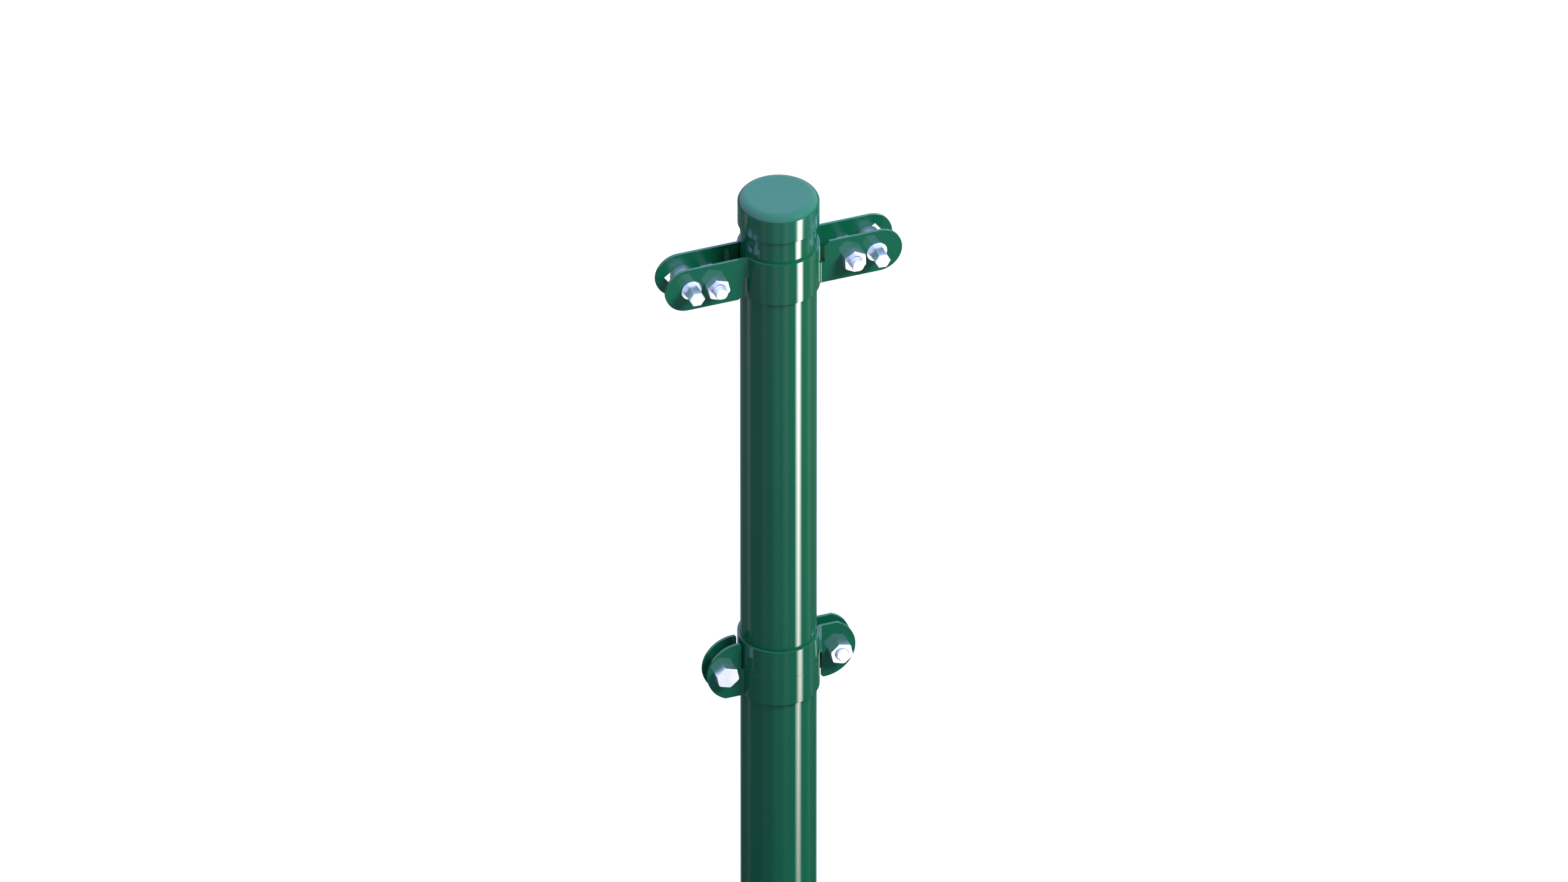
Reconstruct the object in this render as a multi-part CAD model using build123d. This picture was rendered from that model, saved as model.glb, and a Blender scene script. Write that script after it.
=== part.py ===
from build123d import *
from math import radians, sin, sqrt
import os

# Line post of a wire fence: a coated steel tube with a slip-on cap and two pairs of folded
# clamp collars. The upper pair carries the turning wire tensioners, the lower pair grips the mesh.
# Sizes are in millimetres. +Z is up, +X runs along the right-hand ears, and the front is -Y.
# The origin is the centre of the tube's lower end.

# Post tube.
tube_diameter = 60.0
tube_wall = 2.0
tube_length = 1500.0

# Slip-on cap: its inside shoulder sits on the tube's end.
cap_height = 25.0
cap_wall = 1.9
cap_top_wall = 2.5
cap_seat_depth = 4.5
cap_clearance = 0.1
cap_edge_radius = 7.4
cap_edge_turn = 73.6
cap_seat_width = 3.0

# Collars: each is one folded strip, and all four are of the same sheet.
sheet = 2.4
collar_clearance = 0.05
bend_radius = 2.0

# Upper pair, which carries the tensioners.
upper_pair_drop = 59.5
upper_band_height = 18.8
upper_ear_gap = 20.2
upper_bolt_offset = 26.5
upper_round_offset = 2.45
upper_free_edge_inset = 2.4
upper_corner_chamfer = 4.0

# Lower pair, which grips the mesh.
lower_pair_drop = 436.4
lower_band_height = 25.3
lower_ear_gap = 9.5
lower_bolt_offset = 17.5
lower_round_offset = 5.8
lower_round_excess = 0.6
lower_round_shift = 1.8
lower_free_edge_inset = 0.2
lower_corner_chamfer = 1.4

# Clamp screws and their nuts.
screw_diameter = 10.0
hole_clearance = 0.5
thread_clearance = 0.05
nut_across_flats = 17.0
nut_height = 8.0
hex_face_share = 0.96
hex_turn = -18.0
upper_right_nut_turn = -28.0
head_height = 8.0
cup_head_diameter = 24.0
cup_head_height = 5.3
neck_length = 4.0
neck_clearance = 0.2
upper_screw_end = 6.8
lower_screw_end = 2.1
end_chamfer = 0.8

# Wire tensioners: a hexagon for the key, a journal, a drum for the wire and a cross-shaped tail.
tail_head_gap = 0.55
key_across_flats = 11.4
key_length = 13.8
key_turn = -3.0
journal_diameter = 16.6
journal_clearance = 0.05
journal_proud = 1.0
drum_diameter = 19.2
drum_end_play = 0.3
wire_hole_diameter = 3.5
tail_span = 15.5
tail_arm_width = 6.0
tail_proud = 2.5

# Keyhole behind the drum: a round hole joined to a square one that locks the tail.
keyhole_clearance = 0.25
keyhole_square = 12.6
keyhole_outward = 5.65
keyhole_drop = 1.4
keyhole_turn = 36.6

tube_radius = tube_diameter / 2
screw_radius = screw_diameter / 2
band_radius = tube_radius + collar_clearance + sheet / 2
upper_bolt_reach = tube_radius + upper_bolt_offset
lower_bolt_reach = tube_radius + lower_bolt_offset
tensioner_reach = upper_bolt_reach + cup_head_diameter / 2 + tail_head_gap + tail_span / 2
upper_level = tube_length - upper_pair_drop
lower_level = tube_length - lower_pair_drop


def turned(*profile):
    """A solid of revolution about Z from its (radius, height) corners."""
    return revolve(make_face(Plane.XZ * Polyline(*profile, close=True)), Axis.Z)


def hexagon(across_flats, height, turn):
    return extrude(RegularPolygon(across_flats / 2, 6, major_radius=False, rotation=turn), height)


def facing_front(x, y, z):
    """Place a piece that was made along +Z so that it points to the front."""
    return Location((x, y, z), (90, 0, 0))


def half_turn(solid):
    """The other collar of a pair is the same part turned end for end about Y."""
    return solid.rotate(Axis.Y, 180)


def post_tube():
    bore = Cylinder(tube_radius - tube_wall, tube_length, align=(Align.CENTER, Align.CENTER, Align.MIN))
    return Cylinder(tube_radius, tube_length, align=(Align.CENTER, Align.CENTER, Align.MIN)) - bore


def post_cap():
    bore_radius = tube_radius + cap_clearance
    outer_radius = bore_radius + cap_wall
    hollow_radius = tube_radius - cap_seat_width
    flat_radius = outer_radius - cap_edge_radius * sin(radians(cap_edge_turn))
    top = tube_length + cap_seat_depth
    skirt_end = top - cap_height
    edge_centre = (flat_radius, top - cap_edge_radius)
    edge = CenterArc(edge_centre, cap_edge_radius, 90 - cap_edge_turn, cap_edge_turn)
    profile = Polyline(
        edge @ 0,
        (outer_radius, skirt_end),
        (bore_radius, skirt_end),
        (bore_radius, tube_length),
        (hollow_radius, tube_length),
        (hollow_radius, top - cap_top_wall),
        (0, top - cap_top_wall),
        (0, top),
        edge @ 1,
    )
    return revolve(make_face(Plane.XZ * (profile + edge)), Axis.Z)


def strip_section(ear_gap, ear_tip):
    """Top view of a folded strip: front ear, bend, band round the tube, bend and rear ear."""
    ear_y = (ear_gap + sheet) / 2
    bend = bend_radius + sheet / 2
    centre_y = ear_y + bend
    centre_x = sqrt((band_radius + bend) ** 2 - centre_y**2)
    centre = Vector(-centre_x, -centre_y)
    towards_bend = centre.normalized()
    half_bend = (Vector(0, 1) - towards_bend).normalized()

    def face_line(side):
        """One face of the strip's front half, side -1 for the tube's side and +1 for the outside."""
        radius = bend - side * sheet / 2
        start = Vector(-centre_x, -ear_y - side * sheet / 2)
        finish = centre - towards_bend * radius
        ear = Line((-ear_tip, start.Y), start)
        return [ear, ThreePointArc(start, centre + half_bend * radius, finish)], finish

    lines = []
    for side in (-1, 1):
        half, finish = face_line(side)
        reach = band_radius + side * sheet / 2
        lines += half
        lines += [mirror(line, about=Plane.XZ) for line in half]
        lines.append(ThreePointArc(finish, (reach, 0), (finish.X, -finish.Y)))
    for end in (-1, 1):
        inner = end * (ear_y - sheet / 2)
        outer = end * (ear_y + sheet / 2)
        lines.append(Line((-ear_tip, inner), (-ear_tip, outer)))
    return make_face(Curve() + lines), centre_x


def folded_collar(ear_gap, band_top, round_centre, round_radius, edge_inset, chamfer_size):
    """A left-hand collar about its own mid-height, with its band between 0 and band_top.

    The ears end in a round about round_centre, which the band's own edge may cut off.
    """
    round_x, round_z = round_centre
    section, bend_end = strip_section(ear_gap, round_radius - round_x)
    blank = extrude(section, abs(band_top), both=True)
    band_side = band_top / abs(band_top)
    corner = -bend_end - edge_inset
    free_end = round_z - band_side * round_radius
    round_start = round_x - sqrt(round_radius**2 - (band_top - round_z) ** 2)
    reach = 2 * band_radius
    outline = Polyline(
        (round_start, band_top),
        (reach, band_top),
        (reach, 0),
        (corner, 0),
        (corner, free_end + band_side * chamfer_size),
        (corner - chamfer_size, free_end),
        (round_x, free_end),
    )
    tip = ThreePointArc((round_x, free_end), (round_x - round_radius, round_z), (round_start, band_top))
    pattern = make_face(Plane.XZ * (outline + tip))
    return blank & extrude(pattern, ear_gap + reach, both=True)


def pierce(collar, outline, direction):
    """Cut an outline drawn on the mid plane through the front ear (+1) or the rear ear (-1)."""
    return collar - extrude(Plane.XZ * outline, direction * 2 * band_radius)


def upper_collar():
    collar = folded_collar(
        upper_ear_gap,
        upper_band_height,
        (-tensioner_reach - upper_round_offset, 0),
        upper_band_height,
        upper_free_edge_inset,
        upper_corner_chamfer,
    )
    bolt_place = Pos(-upper_bolt_reach, 0)
    drum_place = Pos(-tensioner_reach, 0)
    neck_width = screw_diameter + 2 * neck_clearance
    lock_place = Pos(-tensioner_reach - keyhole_outward, -keyhole_drop)
    lock = lock_place * Rectangle(keyhole_square, keyhole_square, rotation=keyhole_turn)
    keyhole = drum_place * Circle(tail_span / 2 + keyhole_clearance) + lock
    collar = pierce(collar, bolt_place * Circle(screw_radius + hole_clearance), 1)
    collar = pierce(collar, drum_place * Circle(journal_diameter / 2 + journal_clearance), 1)
    collar = pierce(collar, bolt_place * Rectangle(neck_width, neck_width), -1)
    return pierce(collar, keyhole, -1)


def lower_collar():
    collar = folded_collar(
        lower_ear_gap,
        -lower_band_height,
        (-tube_radius - lower_round_offset, -lower_round_shift),
        lower_band_height + lower_round_excess,
        lower_free_edge_inset,
        lower_corner_chamfer,
    )
    hole = Pos(-lower_bolt_reach, 0) * Circle(screw_radius + hole_clearance)
    return pierce(pierce(collar, hole, 1), hole, -1)


def chamfered_hexagon(height, both_ends, turn):
    """A screw's hexagon: its corners are turned off at the outer end, or at both ends of a nut."""
    corner = nut_across_flats / sqrt(3)
    face = hex_face_share * nut_across_flats / 2
    bevel = (corner - face) / sqrt(3)
    lower = [(0, 0), (face, 0), (corner, bevel)] if both_ends else [(0, 0), (corner, 0)]
    return hexagon(nut_across_flats, height, turn) & turned(
        *lower, (corner, height - bevel), (face, height), (0, height)
    )


def hex_nut(turn=hex_turn):
    bore = Cylinder(
        screw_radius + thread_clearance, nut_height, align=(Align.CENTER, Align.CENTER, Align.MIN)
    )
    return chamfered_hexagon(nut_height, True, turn) - bore


def shank(length):
    tip = screw_radius - end_chamfer
    return turned((0, 0), (screw_radius, 0), (screw_radius, length - end_chamfer), (tip, length), (0, length))


def cup_head_screw(grip):
    """Round head below its seat at z = 0, square neck, then the shank."""
    head_radius = cup_head_diameter / 2
    dome = (head_radius**2 + cup_head_height**2) / (2 * cup_head_height)
    half_height = dome - sqrt(dome**2 - (head_radius / 2) ** 2)
    base = Polyline((0, -cup_head_height), (0, 0), (head_radius, 0))
    crown = ThreePointArc(
        (0, -cup_head_height), (head_radius / 2, half_height - cup_head_height), (head_radius, 0)
    )
    head = revolve(make_face(Plane.XZ * (base + crown)), Axis.Z)
    neck = extrude(Rectangle(screw_diameter, screw_diameter), neck_length)
    return head + neck + shank(grip + nut_height + upper_screw_end)


def hex_head_screw(grip):
    """Hexagon head below its seat at z = 0, then the shank."""
    head = chamfered_hexagon(head_height, False, hex_turn).rotate(Axis.X, 180)
    return head + shank(grip + nut_height + lower_screw_end)


def tensioner():
    """One wire tensioner along Z, with its key hexagon at the top and z = 0 midway between the ears."""
    drum_end = upper_ear_gap / 2 - drum_end_play
    ear_face = upper_ear_gap / 2 + sheet
    journal_end = ear_face + journal_proud
    tail_end = ear_face + tail_proud
    drum_radius = drum_diameter / 2
    journal_radius = journal_diameter / 2
    body = turned(
        (0, -drum_end),
        (drum_radius, -drum_end),
        (drum_radius, drum_end),
        (journal_radius, drum_end),
        (journal_radius, journal_end),
        (0, journal_end),
    )
    key = Pos(0, 0, journal_end) * hexagon(key_across_flats, key_length, key_turn)
    arm = SlotOverall(tail_span, tail_arm_width)
    tail = extrude(arm + arm.rotate(Axis.Z, 90), drum_end - tail_end)
    wire_hole = Cylinder(wire_hole_diameter / 2, 2 * drum_diameter).rotate(Axis.X, 90)
    return body + key + Pos(0, 0, -drum_end) * tail - wire_hole


def clamp_screws(parts):
    """The screws and nuts: both upper nuts face the front, the lower screws enter from opposite sides."""
    upper_face = upper_ear_gap / 2 + sheet
    lower_face = lower_ear_gap / 2 + sheet
    for name, side, upper_nut_turn in (("left", -1, hex_turn), ("right", 1, upper_right_nut_turn)):
        x = side * upper_bolt_reach
        screw = cup_head_screw(2 * upper_face)
        parts[f"upper_{name}_screw"] = facing_front(x, upper_face, upper_level) * screw
        parts[f"upper_{name}_nut"] = facing_front(x, -upper_face, upper_level) * hex_nut(upper_nut_turn)
        screw = hex_head_screw(2 * lower_face)
        nut = hex_nut()
        if side < 0:
            screw = Pos(0, 0, 2 * lower_face) * screw.rotate(Axis.X, 180)
            nut = Pos(0, 0, -nut_height) * nut
        else:
            nut = Pos(0, 0, 2 * lower_face) * nut
        place = facing_front(side * lower_bolt_reach, lower_face, lower_level)
        parts[f"lower_{name}_screw"] = place * screw
        parts[f"lower_{name}_nut"] = place * nut


def build_post():
    parts = {"post_tube": post_tube(), "post_cap": post_cap()}
    for level_name, level, collar in (
        ("upper", upper_level, upper_collar()),
        ("lower", lower_level, lower_collar()),
    ):
        parts[f"{level_name}_left_collar"] = Pos(0, 0, level) * collar
        parts[f"{level_name}_right_collar"] = Pos(0, 0, level) * half_turn(collar)
    for name, side in (("left", -1), ("right", 1)):
        place = facing_front(side * tensioner_reach, 0, upper_level)
        parts[f"{name}_tensioner"] = place * tensioner()
    clamp_screws(parts)
    return parts


os.makedirs("parts", exist_ok=True)
for node, solid in build_post().items():
    export_step(solid, f"parts/{node}.step")
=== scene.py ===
import math

import bmesh
import bpy
from mathutils import Matrix, Vector


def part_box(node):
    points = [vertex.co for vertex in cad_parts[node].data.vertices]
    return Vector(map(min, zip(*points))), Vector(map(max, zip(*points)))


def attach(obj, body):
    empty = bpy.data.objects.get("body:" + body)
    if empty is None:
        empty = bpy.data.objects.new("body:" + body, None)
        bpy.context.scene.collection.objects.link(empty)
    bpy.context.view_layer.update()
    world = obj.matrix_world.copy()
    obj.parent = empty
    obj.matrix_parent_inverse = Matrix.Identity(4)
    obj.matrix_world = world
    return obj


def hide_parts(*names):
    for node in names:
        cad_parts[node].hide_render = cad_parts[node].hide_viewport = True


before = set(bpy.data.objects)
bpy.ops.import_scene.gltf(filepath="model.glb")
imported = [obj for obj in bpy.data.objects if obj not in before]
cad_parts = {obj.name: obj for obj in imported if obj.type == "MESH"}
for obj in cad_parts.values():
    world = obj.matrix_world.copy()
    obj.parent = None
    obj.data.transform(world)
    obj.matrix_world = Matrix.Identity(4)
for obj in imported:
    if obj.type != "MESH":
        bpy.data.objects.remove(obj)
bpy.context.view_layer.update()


# Post tube. A drawn round steel tube in a thick glossy green coating, cut square at both ends.
# The frame's tube has few facets, so the visible one is turned here again with many more.
MM = 0.001


class Value:
    """One value in a finish's node tree. Arithmetic on it adds Math nodes."""

    def __init__(self, finish, socket):
        self.finish = finish
        self.socket = socket

    def calculated(self, operation, first, second):
        return self.finish.node("ShaderNodeMath", {"operation": operation}, {0: first, 1: second})

    def __add__(self, other):
        return self.calculated("ADD", self, other)

    def __mul__(self, other):
        return self.calculated("MULTIPLY", self, other)

    __radd__ = __add__
    __rmul__ = __mul__


class Finish:
    """A node tree, and the one way to add a node to it."""

    def __init__(self, tree):
        self.tree = tree
        self.tree.nodes.clear()

    def feed(self, socket, value):
        if isinstance(value, Value):
            self.tree.links.new(value.socket, socket)
        else:
            socket.default_value = value

    def node(self, kind, settings, sockets, output=0):
        made = self.tree.nodes.new(kind)
        for name, setting in settings.items():
            if name == "stops":
                self.set_stops(made.color_ramp, setting)
            else:
                setattr(made, name, setting)
        for name, value in sockets.items():
            self.feed(made.inputs[name], value)
        return Value(self, made.outputs[output]) if made.outputs else None

    def set_stops(self, ramp, stops):
        while len(ramp.elements) < len(stops):
            ramp.elements.new(1.0)
        for element, (position, colour) in zip(ramp.elements, stops):
            element.position = position
            element.color = colour


def surface(name, sockets, make_varying):
    """A material: its constants are set on the shader, and make_varying feeds it the rest."""
    material = bpy.data.materials.new(name)
    material.use_nodes = True
    finish = Finish(material.node_tree)
    place = finish.node("ShaderNodeTexCoord", {}, {}, "Object")
    varying = make_varying(finish, place)
    shader = finish.node("ShaderNodeBsdfPrincipled", {}, {**sockets, **varying})
    finish.node("ShaderNodeOutputMaterial", {}, {"Surface": shader})
    return material


def noise(finish, place, per_metre, detail=2.0):
    """A grey noise with so many grains to the metre."""
    sockets = {"Vector": place, "Scale": per_metre, "Detail": detail, "Roughness": 0.5}
    return finish.node("ShaderNodeTexNoise", {}, sockets)


def tinted(finish, factor, low, high):
    """A colour between two, by a grey value."""
    return finish.node(
        "ShaderNodeMix", {"data_type": "RGBA"}, {0: factor, 6: (*low, 1.0), 7: (*high, 1.0)}, 2
    )


def bumped(finish, height, depth, strength):
    """A normal that is bent by a grey height, of a depth in metres."""
    sockets = {"Height": height, "Distance": depth, "Strength": strength}
    return finish.node("ShaderNodeBump", {}, sockets)


COAT_CLOUDS_PER_METRE = 14.0
COAT_DARKER = (0.003, 0.090, 0.045)
COAT_LIGHTER = (0.004, 0.100, 0.051)
COAT_GLOSSIEST = 0.03
COAT_DULLED_BY = 0.04
PEEL_PER_METRE = 1500.0
PEEL_DEPTH = 0.02 * MM
PEEL_STRENGTH = 0.12


def coating(finish, place):
    """Orange peel under a millimetre across, and a faint cloudiness in the colour and the gloss."""
    cloud = noise(finish, place, COAT_CLOUDS_PER_METRE)
    peel = noise(finish, place, PEEL_PER_METRE, detail=1.0)
    return {
        "Base Color": tinted(finish, cloud, COAT_DARKER, COAT_LIGHTER),
        "Roughness": COAT_GLOSSIEST + COAT_DULLED_BY * cloud,
        "Normal": bumped(finish, peel, PEEL_DEPTH, PEEL_STRENGTH),
    }


green_coat = surface("green_coat", {"IOR": 1.5}, coating)


def level(radius, height):
    """A plain round ring of one radius at one height."""
    return lambda angle: (radius, height)


def skinned(loops, closed=False):
    """A solid through loops of points: closed on itself, or with a flat face at each end."""
    made = bmesh.new()
    rings = [[made.verts.new(point) for point in loop] for loop in loops]
    following = rings[1:] + rings[:1] if closed else rings[1:]
    for lower, upper in zip(rings, following):
        for i in range(len(lower)):
            after = (i + 1) % len(lower)
            made.faces.new([lower[i], lower[after], upper[after], upper[i]])
    if not closed:
        made.faces.new(rings[0][::-1])
        made.faces.new(rings[-1])
    bmesh.ops.recalc_face_normals(made, faces=made.faces)
    return made


def turned(shapes, segments, closed=False):
    """A solid about Z. Each shape gives a radius and a height for an angle."""
    loops = []
    for shape in shapes:
        loop = []
        for i in range(segments):
            angle = 2 * math.pi * i / segments
            radius, height = shape(angle)
            loop.append(Vector((radius * math.cos(angle), radius * math.sin(angle), height)))
        loops.append(loop)
    return skinned(loops, closed)


def modified(made, *modifiers):
    """The solid after modifiers, each given as its type and its settings."""
    mesh = bpy.data.meshes.new("blank")
    made.to_mesh(mesh)
    made.free()
    blank = bpy.data.objects.new("blank", mesh)
    bpy.context.scene.collection.objects.link(blank)
    for kind, settings in modifiers:
        modifier = blank.modifiers.new(kind.lower(), kind)
        for name, setting in settings.items():
            setattr(modifier, name, setting)
    finished = blank.evaluated_get(bpy.context.evaluated_depsgraph_get())
    result = bpy.data.meshes.new_from_object(finished)
    bpy.data.objects.remove(blank)
    bpy.data.meshes.remove(mesh)
    return result


ROUNDING_STEPS = 2


def softened(made, width, sharp=25):
    """Rounds the edges that are sharper than an angle, as a coating or plating does."""
    settings = {
        "width": width,
        "segments": ROUNDING_STEPS,
        "limit_method": "ANGLE",
        "angle_limit": math.radians(sharp),
        "use_clamp_overlap": True,
    }
    rounded = bmesh.new()
    rounded.from_mesh(modified(made, ("BEVEL", settings)))
    return rounded


def shown(name, made, body, material, replaced):
    """A finished solid becomes a piece that rides on its body and stands for its node."""
    for face in made.faces:
        face.smooth = True
    settings = {"mode": "FACE_AREA", "weight": 50, "keep_sharp": True}
    mesh = modified(made, ("WEIGHTED_NORMAL", settings))
    mesh.name = name
    mesh.materials.append(material)
    piece = bpy.data.objects.new(name, mesh)
    bpy.context.scene.collection.objects.link(piece)
    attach(piece, body)
    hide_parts(replaced)


TUBE_WALL = 2.0 * MM
TUBE_SEGMENTS = 256
TUBE_ROUNDING = 0.3 * MM
tube_low, tube_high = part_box("post_tube")
tube_radius = tube_high.x
tube_top = tube_high.z
tube = turned(
    [
        level(tube_radius, tube_low.z),
        level(tube_radius, tube_top),
        level(tube_radius - TUBE_WALL, tube_top),
        level(tube_radius - TUBE_WALL, tube_low.z),
    ],
    TUBE_SEGMENTS,
    closed=True,
)
tube = softened(tube, TUBE_ROUNDING)
shown("coated_tube", tube, "root", green_coat, "post_tube")


# Cap. A plastic cap, moulded in one piece and pushed over the tube's end until its inside shoulder
# sits on it. Its flat top falls to the skirt in a rounded edge that ends in a faint crease.
CAP_EDGE_RADIUS = 7.4 * MM
CAP_EDGE_TURN = math.radians(73.6)
CAP_EDGE_STEPS = 16
CAP_TOP_WALL = 2.5 * MM
CAP_WALL = 1.9 * MM
CAP_SEAT_WIDTH = 3.0 * MM
CAP_ROUNDING = 0.35 * MM
CAP_SHARP = 40
PLASTIC_CLOUDS_PER_METRE = 30.0
PLASTIC_DARKER = (0.003, 0.098, 0.056)
PLASTIC_LIGHTER = (0.004, 0.108, 0.064)
PLASTIC_GLOSSIEST = 0.10
PLASTIC_DULLED_BY = 0.06
PLASTIC_GRAINS_PER_METRE = 2200.0


def moulded(finish, place):
    """Plastic a little duller than the coating, with a fine even grain."""
    cloud = noise(finish, place, PLASTIC_CLOUDS_PER_METRE)
    grain = noise(finish, place, PLASTIC_GRAINS_PER_METRE, detail=1.0)
    return {
        "Base Color": tinted(finish, cloud, PLASTIC_DARKER, PLASTIC_LIGHTER),
        "Roughness": PLASTIC_GLOSSIEST + PLASTIC_DULLED_BY * cloud,
        "Normal": bumped(finish, grain, PEEL_DEPTH, PEEL_STRENGTH),
    }


cap_plastic = surface("cap_plastic", {"IOR": 1.5}, moulded)
cap_low, cap_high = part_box("post_cap")
cap_radius = cap_high.x
flat_radius = cap_radius - CAP_EDGE_RADIUS * math.sin(CAP_EDGE_TURN)
edge_turns = [CAP_EDGE_TURN * step / CAP_EDGE_STEPS for step in range(CAP_EDGE_STEPS + 1)]
cap_shapes = []
for turn in edge_turns:
    cap_shapes.append(
        level(
            flat_radius + CAP_EDGE_RADIUS * math.sin(turn),
            cap_high.z - CAP_EDGE_RADIUS * (1 - math.cos(turn)),
        )
    )
cap_shapes += [
    level(cap_radius, cap_low.z),
    level(cap_radius - CAP_WALL, cap_low.z),
    level(cap_radius - CAP_WALL, tube_top),
    level(tube_radius - CAP_SEAT_WIDTH, tube_top),
    level(tube_radius - CAP_SEAT_WIDTH, cap_high.z - CAP_TOP_WALL),
]
cap = softened(turned(cap_shapes, TUBE_SEGMENTS), CAP_ROUNDING, CAP_SHARP)
shown("moulded_cap", cap, "root", cap_plastic, "post_cap")


# Collars. Each is one strip of 2.4 mm sheet: a front ear, a half-height band round the far side of
# the tube, and a rear ear. Two of them, turned end for end, share each level. They are punched and
# folded before they are coated, so the coating rounds every edge.
SHEET = 2.4 * MM
COLLAR_CLEARANCE = 0.05 * MM
BEND_RADIUS = 2.0 * MM
BEND_STEPS = 10
BAND_STEPS = 48
EAR_STEPS = 36
HOLE_STEPS = 64


def strip_path(ear_gap, ear_tip):
    """Points along the middle of a folded strip, each with the way to its outside."""
    ear_y = (ear_gap + SHEET) / 2
    bend = BEND_RADIUS + SHEET / 2
    band = tube_radius + COLLAR_CLEARANCE + SHEET / 2
    lean = math.asin((ear_y + bend) / (band + bend))
    bend_centre = Vector((-(band + bend) * math.cos(lean), -(ear_y + bend)))
    front = [(Vector((-ear_tip, -ear_y)), Vector((0, -1)))]
    for step in range(BEND_STEPS + 1):
        angle = math.pi / 2 + (lean - math.pi / 2) * step / BEND_STEPS
        inward = Vector((math.cos(angle), math.sin(angle)))
        front.append((bend_centre + bend * inward, -inward))
    for step in range(1, BAND_STEPS + 1):
        angle = math.pi + lean + (math.pi - lean) * step / BAND_STEPS
        outward = Vector((math.cos(angle), math.sin(angle)))
        front.append((band * outward, outward))
    rear = [(Vector((p.x, -p.y)), Vector((n.x, -n.y))) for p, n in reversed(front[:-1])]
    return front + rear, bend_centre.x


def drawn_through(outline, depth):
    """A solid with this (x, z) outline that runs through the post from front to back."""
    return skinned([[Vector((x, y, z)) for x, z in outline] for y in (-depth, depth)])


def trimmed(blank, tool, operation):
    """The blank after a tool has cut it, or has been kept in common with it."""
    mesh = bpy.data.meshes.new("tool")
    tool.to_mesh(mesh)
    tool.free()
    cutter = bpy.data.objects.new("tool", mesh)
    bpy.context.scene.collection.objects.link(cutter)
    settings = {"object": cutter, "operation": operation, "solver": "EXACT"}
    result = bmesh.new()
    result.from_mesh(modified(blank, ("BOOLEAN", settings)))
    bpy.data.objects.remove(cutter)
    return result


def folded_collar(ear_gap, band_top, round_centre, round_radius, edge_inset, chamfer):
    """A left-hand collar about its own mid-height, with its band between 0 and band_top.

    The ears end in a round about round_centre, which the band's own edge may cut off.
    """
    round_x, round_z = round_centre
    path, bend_end = strip_path(ear_gap, round_radius - round_x)
    loops = []
    for point, outward in path:
        inside = point - outward * SHEET / 2
        outside = point + outward * SHEET / 2
        loops.append([
            Vector((*inside, -abs(band_top))),
            Vector((*outside, -abs(band_top))),
            Vector((*outside, abs(band_top))),
            Vector((*inside, abs(band_top))),
        ])
    band_side = math.copysign(1.0, band_top)
    free_end = round_z - band_side * round_radius
    free_edge = bend_end - edge_inset
    beyond = 2 * tube_radius
    outline = [
        (free_edge - chamfer, free_end),
        (free_edge, free_end + band_side * chamfer),
        (free_edge, 0),
        (beyond, 0),
        (beyond, band_top),
    ]
    first = math.asin(min(abs(band_top - round_z) / round_radius, 1.0))
    for step in range(EAR_STEPS + 1):
        angle = first - (first + math.pi / 2) * step / EAR_STEPS
        across = round_x - round_radius * math.cos(angle)
        outline.append((across, round_z + band_side * round_radius * math.sin(angle)))
    return trimmed(skinned(loops), drawn_through(outline, beyond), "INTERSECT")


def punched(collar, outline, side):
    """Punch an outline through the front ear (-1) or the rear ear (+1)."""
    reach = 2 * side * tube_radius
    hole = skinned([[Vector((x, y, z)) for x, z in outline] for y in (0, reach)])
    return trimmed(collar, hole, "DIFFERENCE")


def circle(radius, x=0.0):
    """The outline of a round hole at the pair's own level."""
    turns = [2 * math.pi * i / HOLE_STEPS for i in range(HOLE_STEPS)]
    return [(x + radius * math.cos(turn), radius * math.sin(turn)) for turn in turns]


def square(width, x, z=0.0, turn=0.0):
    """The outline of a square hole, turned about its own centre."""
    corners = [turn + math.pi / 4 + math.pi / 2 * i for i in range(4)]
    half = width / math.sqrt(2)
    return [(x + half * math.cos(corner), z + half * math.sin(corner)) for corner in corners]


UPPER_EAR_GAP = 20.2 * MM
UPPER_EDGE_INSET = 2.4 * MM
UPPER_CHAMFER = 4.0 * MM
LOWER_EAR_GAP = 9.5 * MM
LOWER_EDGE_INSET = 0.2 * MM
LOWER_CHAMFER = 1.4 * MM
LOWER_ROUND_RADIUS = 25.9 * MM
LOWER_ROUND_SHIFT = 1.8 * MM
SCREW_HOLE_RADIUS = 5.5 * MM
NECK_HOLE_WIDTH = 10.4 * MM
JOURNAL_HOLE_RADIUS = 8.35 * MM
KEYHOLE_RADIUS = 8.0 * MM
KEYHOLE_SQUARE = 12.6 * MM
KEYHOLE_OUTWARD = 5.65 * MM
KEYHOLE_DROP = 1.4 * MM
KEYHOLE_TURN = math.radians(36.6)
SHEET_ROUNDING = 0.15 * MM


def middle(node):
    """The centre of a node's box in the frame."""
    low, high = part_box(node)
    return (low + high) / 2


def upper_collar():
    low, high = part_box("upper_left_collar")
    band_top = (high.z - low.z) / 2
    round_centre = (low.x + band_top, 0)
    collar = folded_collar(
        UPPER_EAR_GAP, band_top, round_centre, band_top, UPPER_EDGE_INSET, UPPER_CHAMFER
    )
    screw_x = middle("upper_left_screw").x
    drum_x = middle("left_tensioner").x
    lock = square(KEYHOLE_SQUARE, drum_x - KEYHOLE_OUTWARD, -KEYHOLE_DROP, KEYHOLE_TURN)
    collar = punched(collar, circle(SCREW_HOLE_RADIUS, screw_x), -1)
    collar = punched(collar, circle(JOURNAL_HOLE_RADIUS, drum_x), -1)
    collar = punched(collar, square(NECK_HOLE_WIDTH, screw_x), 1)
    collar = punched(collar, circle(KEYHOLE_RADIUS, drum_x), 1)
    return punched(collar, lock, 1)


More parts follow.
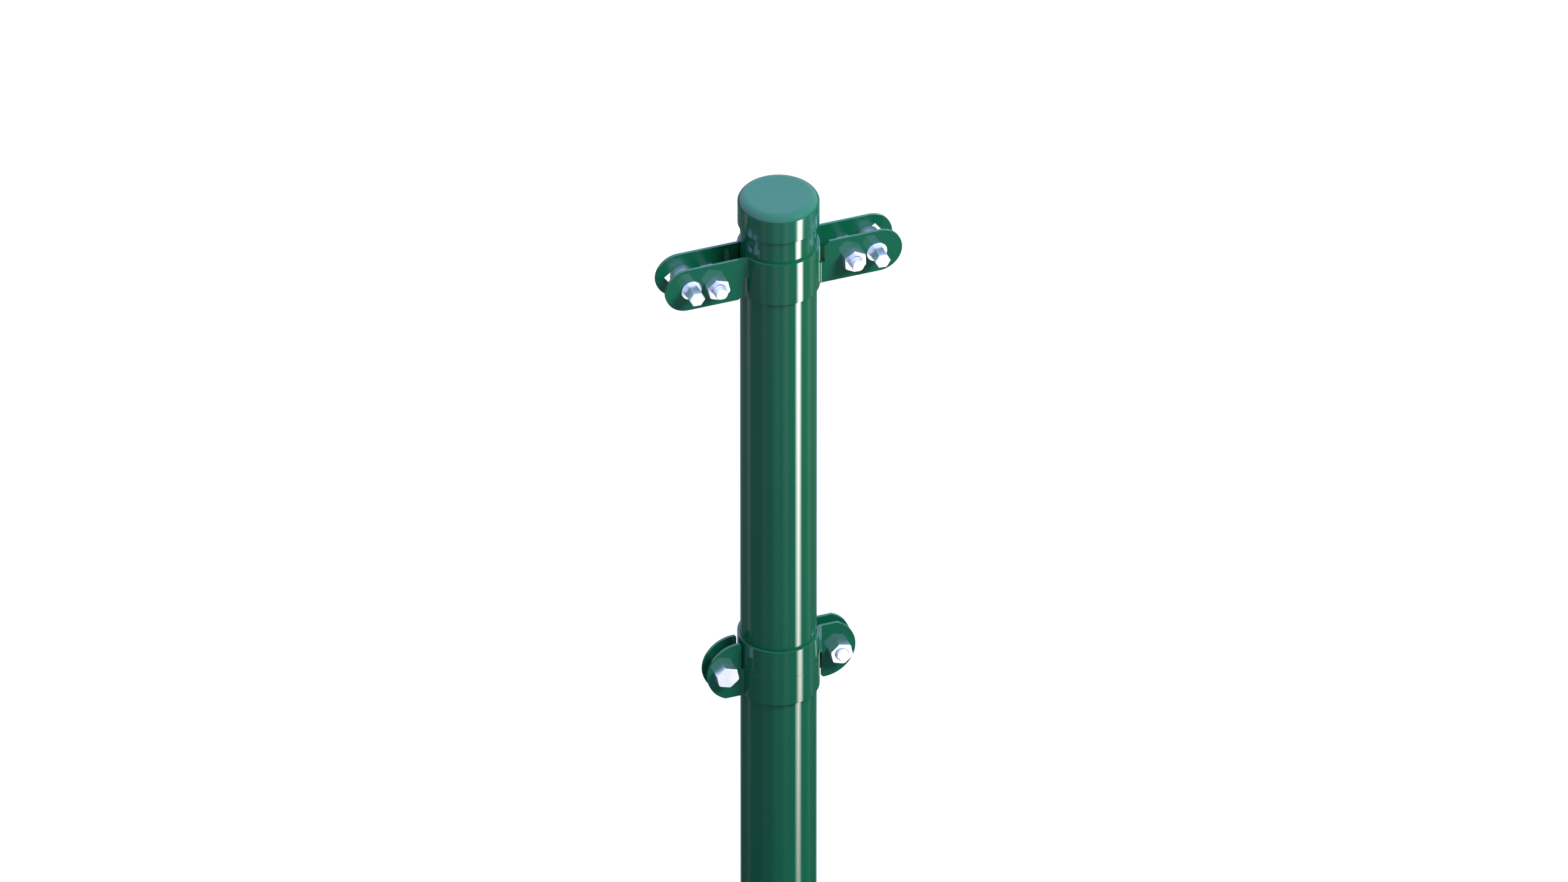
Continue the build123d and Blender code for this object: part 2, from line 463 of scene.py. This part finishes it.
def lower_collar():
    low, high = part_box("lower_left_collar")
    band_top = low.z - middle("lower_left_screw").z
    round_centre = (low.x + LOWER_ROUND_RADIUS, -LOWER_ROUND_SHIFT)
    collar = folded_collar(
        LOWER_EAR_GAP, band_top, round_centre, LOWER_ROUND_RADIUS, LOWER_EDGE_INSET, LOWER_CHAMFER
    )
    hole = circle(SCREW_HOLE_RADIUS, middle("lower_left_screw").x)
    return punched(punched(collar, hole, -1), hole, 1)


for row, make in (("upper", upper_collar), ("lower", lower_collar)):
    for side, turn in (("left", 0), ("right", math.pi)):
        node = f"{row}_{side}_collar"
        collar = softened(make(), SHEET_ROUNDING)
        level_z = middle(f"{row}_{side}_screw").z
        collar.transform(Matrix.Translation((0, 0, level_z)) @ Matrix.Rotation(turn, 4, "Y"))
        shown(f"coated_{node}", collar, "root", green_coat, node)


# Tensioners. Each is turned from one bar: a hexagon for the key, a journal that runs in the front
# ear, a drum for the wire with its wire hole, and a tail milled to a cross. Bright zinc all over.
KEY_ACROSS_FLATS = 11.4 * MM
KEY_TURN = math.radians(-3.0)
KEY_TIP_BEVEL = 0.5 * MM
JOURNAL_RADIUS = 8.3 * MM
JOURNAL_PROUD = 1.0 * MM
DRUM_RADIUS = 9.6 * MM
DRUM_END_PLAY = 0.3 * MM
WIRE_HOLE_RADIUS = 1.75 * MM
TAIL_SPAN = 15.5 * MM
TAIL_ARM = 6.0 * MM
BAR_SEGMENTS = 144
PLATED_ROUNDING = 0.15 * MM
ZINC_CLOUDS_PER_METRE = 120.0
ZINC_DARKER = (0.80, 0.81, 0.88)
ZINC_LIGHTER = (0.92, 0.92, 0.95)
ZINC_GLOSSIEST = 0.33
ZINC_DULLED_BY = 0.10
ZINC_GRAINS_PER_METRE = 2500.0
ZINC_GRAIN_DEPTH = 0.05 * MM
ZINC_GRAIN_STRENGTH = 0.6


def zinc(finish, place):
    """Plated steel: a tint and satin that change over a few millimetres, and a fine grain."""
    cloud = noise(finish, place, ZINC_CLOUDS_PER_METRE, detail=3.0)
    grain = noise(finish, place, ZINC_GRAINS_PER_METRE)
    return {
        "Base Color": tinted(finish, cloud, ZINC_DARKER, ZINC_LIGHTER),
        "Roughness": ZINC_GLOSSIEST + ZINC_DULLED_BY * cloud,
        "Normal": bumped(finish, grain, ZINC_GRAIN_DEPTH, ZINC_GRAIN_STRENGTH),
    }


bright_zinc = surface("bright_zinc", {"Metallic": 1.0}, zinc)


def hexagon(across_flats, angle):
    """Radius of a hexagon at an angle from one of its corners."""
    from_flat = angle % (math.pi / 3) - math.pi / 6
    return across_flats / 2 / math.cos(from_flat)


def cross(angle):
    """Radius of the tail's cross: straight arms with round ends."""
    from_arm = abs((angle + math.pi / 4) % (math.pi / 2) - math.pi / 4)
    half = TAIL_ARM / 2
    end_centre = TAIL_SPAN / 2 - half
    if from_arm > math.atan2(half, end_centre):
        return half / math.sin(from_arm)
    beside = end_centre * math.sin(from_arm)
    return end_centre * math.cos(from_arm) + math.sqrt(half**2 - beside**2)


def facing_front(x, y, z):
    """Turns a piece that was made along +Z to point to the front, and puts it in its place."""
    return Matrix.Translation((x, y, z)) @ Matrix.Rotation(math.pi / 2, 4, "X")


for side in ("left", "right"):
    node = f"{side}_tensioner"
    low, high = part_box(node)
    drum_end = UPPER_EAR_GAP / 2 - DRUM_END_PLAY
    journal_end = UPPER_EAR_GAP / 2 + SHEET + JOURNAL_PROUD
    key_end = -low.y
    tail_end = -high.y

    def key(height, inset=0.0):
        return lambda angle: (hexagon(KEY_ACROSS_FLATS - 2 * inset, angle - KEY_TURN), height)

    bar = turned(
        [
            lambda angle: (cross(angle), tail_end),
            lambda angle: (cross(angle), -drum_end),
            level(DRUM_RADIUS, -drum_end),
            level(DRUM_RADIUS, drum_end),
            level(JOURNAL_RADIUS, drum_end),
            level(JOURNAL_RADIUS, journal_end),
            key(journal_end),
            key(key_end - KEY_TIP_BEVEL),
            key(key_end, KEY_TIP_BEVEL),
        ],
        BAR_SEGMENTS,
    )
    wire_hole = drawn_through(circle(WIRE_HOLE_RADIUS), 2 * DRUM_RADIUS)
    bar = softened(trimmed(bar, wire_hole, "DIFFERENCE"), PLATED_ROUNDING)
    bar.transform(facing_front(middle(node).x, 0, middle(node).z))
    shown(f"plated_{node}", bar, node, bright_zinc, node)


# Clamp screws and nuts. The upper pair has cup-head screws with square necks, the lower pair has
# hexagon heads. They are cold-headed and thread-rolled from wire, then zinc plated.
ACROSS_FLATS = 17.0 * MM
NUT_HEIGHT = 8.0 * MM
HEX_FACE_SHARE = 1.08
HEX_TURN = math.radians(-18.0)
UPPER_RIGHT_NUT_TURN = math.radians(-28.0)
HEX_HEAD_HEIGHT = 8.0 * MM
NUT_BORE_RADIUS = 5.05 * MM
COUNTERSINK = 0.8 * MM
CUP_HEAD_RADIUS = 12.0 * MM
CUP_HEAD_HEIGHT = 5.3 * MM
CUP_HEAD_ROUNDING = 0.2 * MM
DOME_STEPS = 12
NECK_WIDTH = 10.0 * MM
NECK_LENGTH = 4.0 * MM
SCREW_RADIUS = 5.0 * MM
THREAD_PITCH = 3.0 * MM
THREAD_DEPTH = 1.0 * MM
THREAD_STEEPNESS = 8.0
THREAD_ROOT = 0.9
THREAD_OVERLAP = MM
RINGS_PER_TURN = 16
SCREW_SEGMENTS = 72
END_BEVEL = 0.5 * MM
WELD_REACH = 0.001 * MM


def chamfered(end, direction):
    """Rings at one end of a hexagon: its face, and the scallops where a cone cuts its corners."""
    face = HEX_FACE_SHARE * ACROSS_FLATS / 2

    def rim(angle):
        return min(hexagon(ACROSS_FLATS, angle), face), end

    def scallop(angle):
        radius = hexagon(ACROSS_FLATS, angle)
        return radius, end + direction * max(radius - face, 0.0) / math.sqrt(3)

    return [rim, scallop]


def welded(made):
    """The solid with the points joined that lie on one another."""
    bmesh.ops.remove_doubles(made, verts=made.verts, dist=WELD_REACH)
    return made


def nut(turn):
    wide_bore = NUT_BORE_RADIUS + COUNTERSINK
    shapes = chamfered(0, 1) + chamfered(NUT_HEIGHT, -1)[::-1]
    shapes += [
        level(wide_bore, NUT_HEIGHT),
        level(NUT_BORE_RADIUS, NUT_HEIGHT - COUNTERSINK),
        level(NUT_BORE_RADIUS, COUNTERSINK),
        level(wide_bore, 0),
    ]
    made = softened(welded(turned(shapes, SCREW_SEGMENTS, closed=True)), PLATED_ROUNDING)
    made.transform(Matrix.Rotation(turn, 4, "Z"))
    return made


def thread(start, end):
    """A thread of narrow grooves between broad crests, cut back by the end's bevel."""
    count = round((end - start) / THREAD_PITCH * RINGS_PER_TURN)

    def ring_at(height):
        def shape(angle):
            phase = (height / THREAD_PITCH - angle / (2 * math.pi)) % 1.0
            crest = min(max(THREAD_STEEPNESS * abs(2 * phase - 1) - THREAD_ROOT, 0.0), 1.0)
            bevelled = SCREW_RADIUS - max(END_BEVEL - (end - height), 0.0)
            return min(SCREW_RADIUS - THREAD_DEPTH * (1 - crest), bevelled), height

        return shape

    heights = [start + (end - start) * j / count for j in range(count + 1)]
    return turned([ring_at(height) for height in heights], SCREW_SEGMENTS)


def cup_head():
    """The round head below its seat at z = 0, and the square neck above it."""
    dome = (CUP_HEAD_RADIUS**2 + CUP_HEAD_HEIGHT**2) / (2 * CUP_HEAD_HEIGHT)
    full_turn = math.asin(CUP_HEAD_RADIUS / dome)
    shapes = []
    for step in range(1, DOME_STEPS + 1):
        turn = full_turn * step / DOME_STEPS
        shapes.append(level(dome * math.sin(turn), dome * (1 - math.cos(turn)) - CUP_HEAD_HEIGHT))

    def neck(height):
        def shape(angle):
            from_flat = (angle + math.pi / 4) % (math.pi / 2) - math.pi / 4
            return NECK_WIDTH / 2 / math.cos(from_flat), height

        return shape

    shapes += [neck(0), neck(NECK_LENGTH)]
    return softened(turned(shapes, SCREW_SEGMENTS), CUP_HEAD_ROUNDING)


def hex_head():
    """The hexagon head below its seat at z = 0."""
    shapes = chamfered(-HEX_HEAD_HEIGHT, 1)
    shapes.append(lambda angle: (hexagon(ACROSS_FLATS, angle), 0))
    made = softened(welded(turned(shapes, SCREW_SEGMENTS)), PLATED_ROUNDING)
    made.transform(Matrix.Rotation(-HEX_TURN, 4, "Z"))
    return made


def screw(head, plain_length, length):
    """A head and its thread, which starts inside the head or the neck, in one solid."""
    return trimmed(head, thread(plain_length - THREAD_OVERLAP, length), "UNION")


seat_up = Matrix.Rotation(math.pi, 4, "X")
for side in ("left", "right"):
    for row, ear_gap in (("upper", UPPER_EAR_GAP), ("lower", LOWER_EAR_GAP)):
        node = f"{row}_{side}_screw"
        low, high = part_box(node)
        ear_face = ear_gap / 2 + SHEET
        place = facing_front(middle(node).x, ear_face, middle(node).z)
        behind = Matrix.Translation((0, 0, 2 * ear_face))
        if row == "upper":
            made = screw(cup_head(), NECK_LENGTH, ear_face - low.y)
            nut_place = place @ behind
        elif side == "right":
            made = screw(hex_head(), 0, ear_face - low.y)
            nut_place = place @ behind
        else:
            made = screw(hex_head(), 0, high.y + ear_face)
            made.transform(behind @ seat_up)
            nut_place = place @ Matrix.Translation((0, 0, -NUT_HEIGHT))
        made.transform(place)
        shown(f"plated_{node}", made, "root", bright_zinc, node)
        leaning = row == "upper" and side == "right"
        nut_made = nut(UPPER_RIGHT_NUT_TURN if leaning else HEX_TURN)
        nut_made.transform(nut_place)
        node = f"{row}_{side}_nut"
        shown(f"plated_{node}", nut_made, "root", bright_zinc, node)


# Studio. A pale floor that reads as white, a cool sky overhead, a key light from the right, and a
# curved screen round the front, seen only in reflections, whose bands draw the lines down the tube.
VIEW_AZIMUTH = -20.0
VIEW_ELEVATION = math.degrees(math.atan(1 / math.sqrt(2)))
FRAME_WIDTH = 1225.2 * MM
AIM_BELOW_TOP = 230.3 * MM
AIM_RIGHT = 4.3 * MM
LENS = 900.0
SENSOR = 36.0
FURTHEST_SEEN = 100.0

across = Vector((math.cos(math.radians(VIEW_AZIMUTH)), math.sin(math.radians(VIEW_AZIMUTH)), 0))
towards_view = Vector((across.y, -across.x, 0))
elevation = math.radians(VIEW_ELEVATION)
back = towards_view * math.cos(elevation) + Vector((0, 0, math.sin(elevation)))
aim = Vector((0, 0, tube_top - AIM_BELOW_TOP)) + across * AIM_RIGHT
camera_data = bpy.data.cameras.new("camera")
camera_data.lens = LENS
camera_data.sensor_width = SENSOR
camera_data.clip_end = FURTHEST_SEEN
camera = bpy.data.objects.new("camera", camera_data)
bpy.context.scene.collection.objects.link(camera)
camera.location = aim + back * (FRAME_WIDTH * LENS / SENSOR)
camera.rotation_euler = back.to_track_quat("Z", "Y").to_euler()
bpy.context.scene.camera = camera

WHITE = (1.0, 1.0, 1.0, 1.0)
FLOOR_SIZE = 14.0
FLOOR_GREY = (0.35, 0.35, 0.35, 1.0)
FLOOR_GLOW = 0.7
FLOOR_MIRRORED = (0.19, 0.28, 0.40, 1.0)
floor_mesh = bpy.data.meshes.new("floor")
half = FLOOR_SIZE / 2
floor_mesh.from_pydata(
    [(-half, -half, 0), (half, -half, 0), (half, half, 0), (-half, half, 0)], [], [(0, 1, 2, 3)]
)
floor = bpy.data.objects.new("floor", floor_mesh)
bpy.context.scene.collection.objects.link(floor)
floor_material = bpy.data.materials.new("pale_floor")
floor_material.use_nodes = True
floor_nodes = Finish(floor_material.node_tree)
is_camera = floor_nodes.node("ShaderNodeLightPath", {}, {}, "Is Camera Ray")
is_glossy = floor_nodes.node("ShaderNodeLightPath", {}, {}, "Is Glossy Ray")
lit = floor_nodes.node("ShaderNodeBsdfDiffuse", {}, {"Color": FLOOR_GREY})
glow = floor_nodes.node(
    "ShaderNodeEmission", {}, {"Color": WHITE, "Strength": FLOOR_GLOW * is_camera}
)
pale = floor_nodes.node("ShaderNodeAddShader", {}, {0: lit, 1: glow})
reflected = floor_nodes.node(
    "ShaderNodeEmission", {}, {"Color": FLOOR_MIRRORED, "Strength": 1.0}
)
floor_look = floor_nodes.node("ShaderNodeMixShader", {}, {0: is_glossy, 1: pale, 2: reflected})
floor_nodes.node("ShaderNodeOutputMaterial", {}, {"Surface": floor_look})
floor_mesh.materials.append(floor_material)

SKY_STOPS = [
    (0.49, (0.30, 0.34, 0.42, 1.0)),
    (0.62, (0.42, 0.48, 0.58, 1.0)),
    (0.85, (0.7, 0.8, 0.9, 1.0)),
]
MIRRORED_SKY_STOPS = [
    (0.49, (0.2, 0.28, 0.4, 1.0)),
    (0.53, (1.15, 1.25, 1.5, 1.0)),
    (0.79, (1.2, 1.45, 2.6, 1.0)),
]
world = bpy.data.worlds.new("studio")
bpy.context.scene.world = world
world.use_nodes = True
sky = Finish(world.node_tree)
direction = sky.node("ShaderNodeTexCoord", {}, {}, "Generated")
height = sky.node("ShaderNodeSeparateXYZ", {}, {"Vector": direction}, "Z")
upwards = 0.5 + 0.5 * height
sky_colour = sky.node("ShaderNodeValToRGB", {"stops": SKY_STOPS}, {"Fac": upwards})
mirrored_colour = sky.node("ShaderNodeValToRGB", {"stops": MIRRORED_SKY_STOPS}, {"Fac": upwards})
lighting = sky.node("ShaderNodeBackground", {}, {"Color": sky_colour, "Strength": 1.0})
mirrored = sky.node("ShaderNodeBackground", {}, {"Color": mirrored_colour, "Strength": 1.0})
backdrop = sky.node("ShaderNodeBackground", {}, {"Color": WHITE, "Strength": 1.0})
reflecting = sky.node("ShaderNodeLightPath", {}, {}, "Is Glossy Ray")
seen = sky.node("ShaderNodeLightPath", {}, {}, "Is Camera Ray")
unseen_look = sky.node("ShaderNodeMixShader", {}, {0: reflecting, 1: lighting, 2: mirrored})
world_look = sky.node("ShaderNodeMixShader", {}, {0: seen, 1: unseen_look, 2: backdrop})
sky.node("ShaderNodeOutputWorld", {}, {"Surface": world_look})


def beside_view(angle, distance, height):
    """A point so many degrees to the right of the camera, seen from the post."""
    turn = math.radians(angle)
    flat = towards_view * math.cos(turn) + across * math.sin(turn)
    return flat * distance + Vector((0, 0, height))


POST_MIDDLE = Vector((0, 0, 1.1))
# Each lamp: degrees to the right of the camera, distance and height, its width, watts and colour.
LAMPS = {
    "key": (66, 2.1, 3.1, 1.0, 118.0, (1.0, 0.99, 0.96)),
    "top": (150, 0.8, 3.4, 1.8, 12.0, (0.88, 0.94, 1.0)),
}
for name, (angle, distance, above, width, watts, colour) in LAMPS.items():
    lamp_data = bpy.data.lights.new(name, "AREA")
    lamp_data.shape = "SQUARE"
    lamp_data.size = width
    lamp_data.energy = watts
    lamp_data.color = colour
    lamp = bpy.data.objects.new(name, lamp_data)
    bpy.context.scene.collection.objects.link(lamp)
    lamp.location = beside_view(angle, distance, above)
    lamp.rotation_euler = (lamp.location - POST_MIDDLE).to_track_quat("Z", "Y").to_euler()
    lamp.visible_camera = False
    lamp.visible_glossy = False

SCREEN_RADIUS = 1.0
SCREEN_SWEEP = 150.0
SCREEN_STEPS = 120
SCREEN_LOW = 0.02
SCREEN_HIGH = 0.98
SCREEN_TINT = Vector((0.08, 0.17, 0.30))
SCREEN_LIGHT = Vector((1.0, 0.95, 0.89))
SCREEN_BRIGHTEST = 25.0
SCREEN_LEVEL = 0.14
SCREEN_FADE_BELOW = 0.04
SCREEN_FADE_RISE = 0.71
# Each band: the way the tube faces where it shows, in degrees from the camera, then the band's
# half width and its strength. Between the bands the screen has its plain level.
SCREEN_BANDS = (
    (-50.0, 6.0, 0.6),
    (-21.0, 6.0, 0.35),
    (-3.0, 7.0, 0.4),
    (11.0, 6.0, 0.6),
    (30.8, 6.0, 25.0),
    (52.0, 6.0, 0.6),
)
screen_levels = []
for facing, half_width, strength in SCREEN_BANDS:
    screen_levels.append((facing - half_width, SCREEN_LEVEL))
    screen_levels.append((facing, strength))
    screen_levels.append((facing + half_width, SCREEN_LEVEL))
screen_loops = []
for step in range(SCREEN_STEPS + 1):
    turn = math.radians(SCREEN_SWEEP * (2 * step / SCREEN_STEPS - 1))
    screen_loops += [
        (SCREEN_RADIUS * math.cos(turn), SCREEN_RADIUS * math.sin(turn), height)
        for height in (SCREEN_LOW, SCREEN_HIGH)
    ]
screen_mesh = bpy.data.meshes.new("screen")
screen_faces = [(i, i + 2, i + 3, i + 1) for i in range(0, 2 * SCREEN_STEPS, 2)]
screen_mesh.from_pydata(screen_loops, [], screen_faces)
screen_material = bpy.data.materials.new("screen")
screen_material.use_nodes = True
screen_nodes = Finish(screen_material.node_tree)
spot = screen_nodes.node("ShaderNodeTexCoord", {}, {}, "Object")
spot_x, spot_y, spot_z = (
    screen_nodes.node("ShaderNodeSeparateXYZ", {}, {"Vector": spot}, axis) for axis in "XYZ"
)
bearing = screen_nodes.node("ShaderNodeMath", {"operation": "ARCTAN2"}, {0: spot_y, 1: spot_x})
bands = screen_nodes.node(
    "ShaderNodeValToRGB",
    {
        "stops": [
            (0.5 + facing / SCREEN_SWEEP, (*(SCREEN_LIGHT * radiance / SCREEN_BRIGHTEST), 1.0))
            for facing, radiance in screen_levels
        ]
    },
    {"Fac": 0.5 + (0.5 / math.radians(SCREEN_SWEEP)) * bearing},
)
brighter_above = (spot_z + SCREEN_FADE_BELOW) * (1 / SCREEN_FADE_RISE)
banded = screen_nodes.node(
    "ShaderNodeVectorMath", {"operation": "SCALE"}, {0: bands, "Scale": brighter_above}
)
bright = screen_nodes.node(
    "ShaderNodeEmission", {}, {"Color": banded, "Strength": SCREEN_BRIGHTEST}
)
towards_centre = screen_nodes.node("ShaderNodeMath", {"operation": "COSINE"}, {0: 0.5 * bearing})
fading = towards_centre * towards_centre
tinge = screen_nodes.node(
    "ShaderNodeVectorMath", {"operation": "SCALE"}, {0: SCREEN_TINT, "Scale": fading}
)
dim = screen_nodes.node("ShaderNodeEmission", {}, {"Color": tinge, "Strength": 1.0})
screen_look = screen_nodes.node("ShaderNodeAddShader", {}, {0: bright, 1: dim})
screen_nodes.node("ShaderNodeOutputMaterial", {}, {"Surface": screen_look})
screen_mesh.materials.append(screen_material)
screen = bpy.data.objects.new("screen", screen_mesh)
bpy.context.scene.collection.objects.link(screen)
screen.rotation_euler = (0, 0, math.radians(VIEW_AZIMUTH - 90))
screen.visible_camera = False
screen.visible_diffuse = False
screen.visible_shadow = False

bpy.context.scene.view_settings.view_transform = "Standard"
